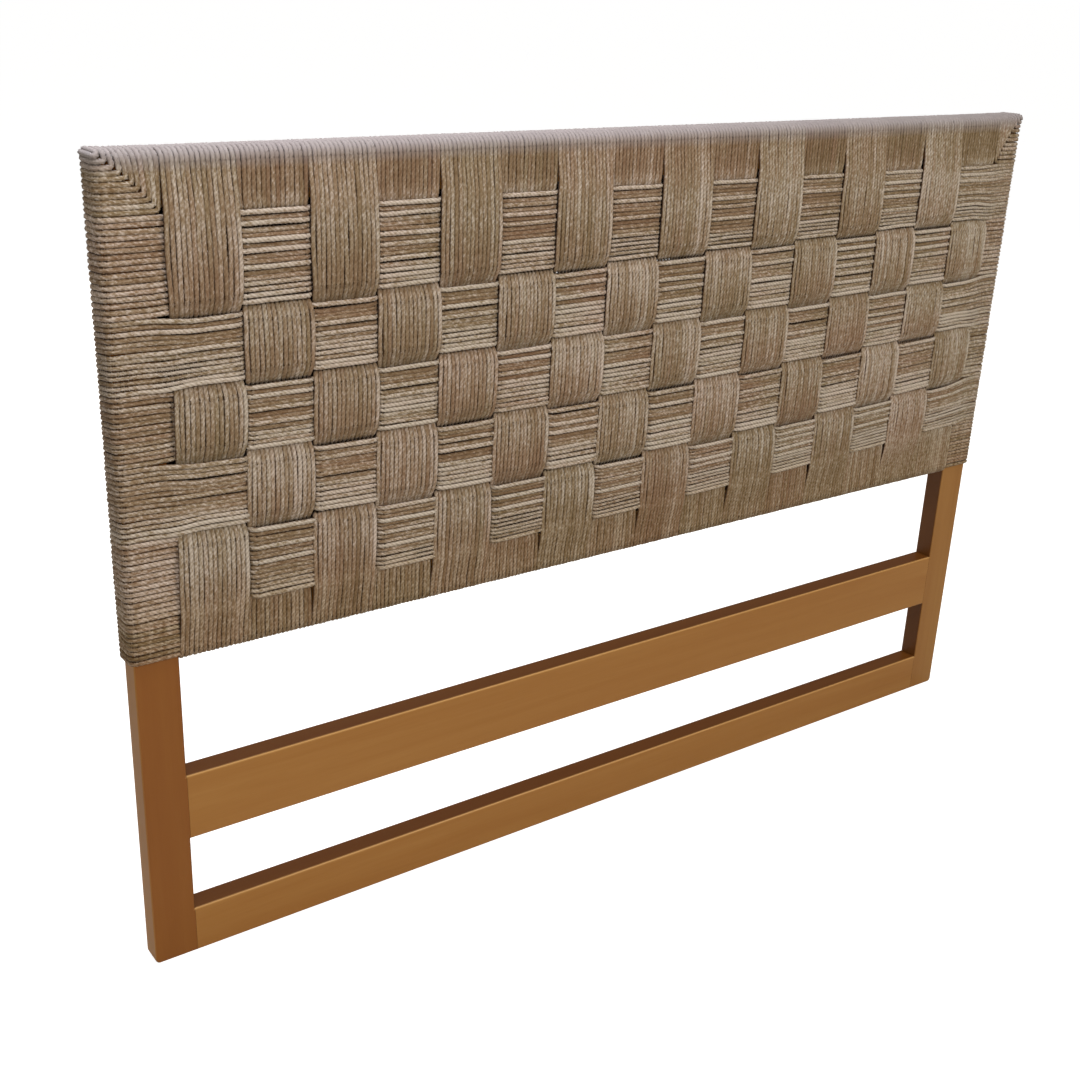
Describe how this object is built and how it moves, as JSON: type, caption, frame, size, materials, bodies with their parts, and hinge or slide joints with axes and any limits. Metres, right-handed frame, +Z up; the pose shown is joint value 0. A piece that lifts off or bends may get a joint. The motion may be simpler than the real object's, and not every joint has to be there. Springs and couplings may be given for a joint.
{
  "type": "woven headboard",
  "caption": "Wooden headboard with a cord basket weave over its upper half and an open railed lower half.",
  "frame": {"origin": "centre of the headboard's footprint on the floor, under the bottom rail", "axes": "+X along the headboard, from the left post to the right one as seen from the front; +Y from the front face to the back; +Z up"},
  "size_m": [1.5118, 0.05, 1.0179],
  "materials": {
    "wood": "satin varnish over honey-brown hardwood",
    "warp_cord": "twisted plant-fibre cord laid upright, matt",
    "weft_cord": "twisted plant-fibre cord laid level, matt"
  },
  "bodies": {
    "root": {"left_post": "wood", "right_post": "wood", "bottom_rail": "wood", "mid_rail": "wood", "weave_rail": "wood", "top_rail": "wood", "warp_01": "warp_cord", "warp_02": "warp_cord", "warp_03": "warp_cord", "warp_04": "warp_cord", "warp_05": "warp_cord", "warp_06": "warp_cord", "warp_07": "warp_cord", "warp_08": "warp_cord", "warp_09": "warp_cord", "warp_10": "warp_cord", "warp_11": "warp_cord", "warp_12": "warp_cord", "warp_13": "warp_cord", "warp_14": "warp_cord", "warp_15": "warp_cord", "warp_16": "warp_cord", "weft_1": "weft_cord", "weft_2": "weft_cord", "weft_3": "weft_cord", "weft_4": "weft_cord", "weft_5": "weft_cord", "left_corner_side_wrap": "weft_cord", "right_corner_side_wrap": "weft_cord", "left_corner_top_wrap": "warp_cord", "right_corner_top_wrap": "warp_cord", "left_lower_wrap": "weft_cord", "right_lower_wrap": "weft_cord"}
  },
  "joints": []
}
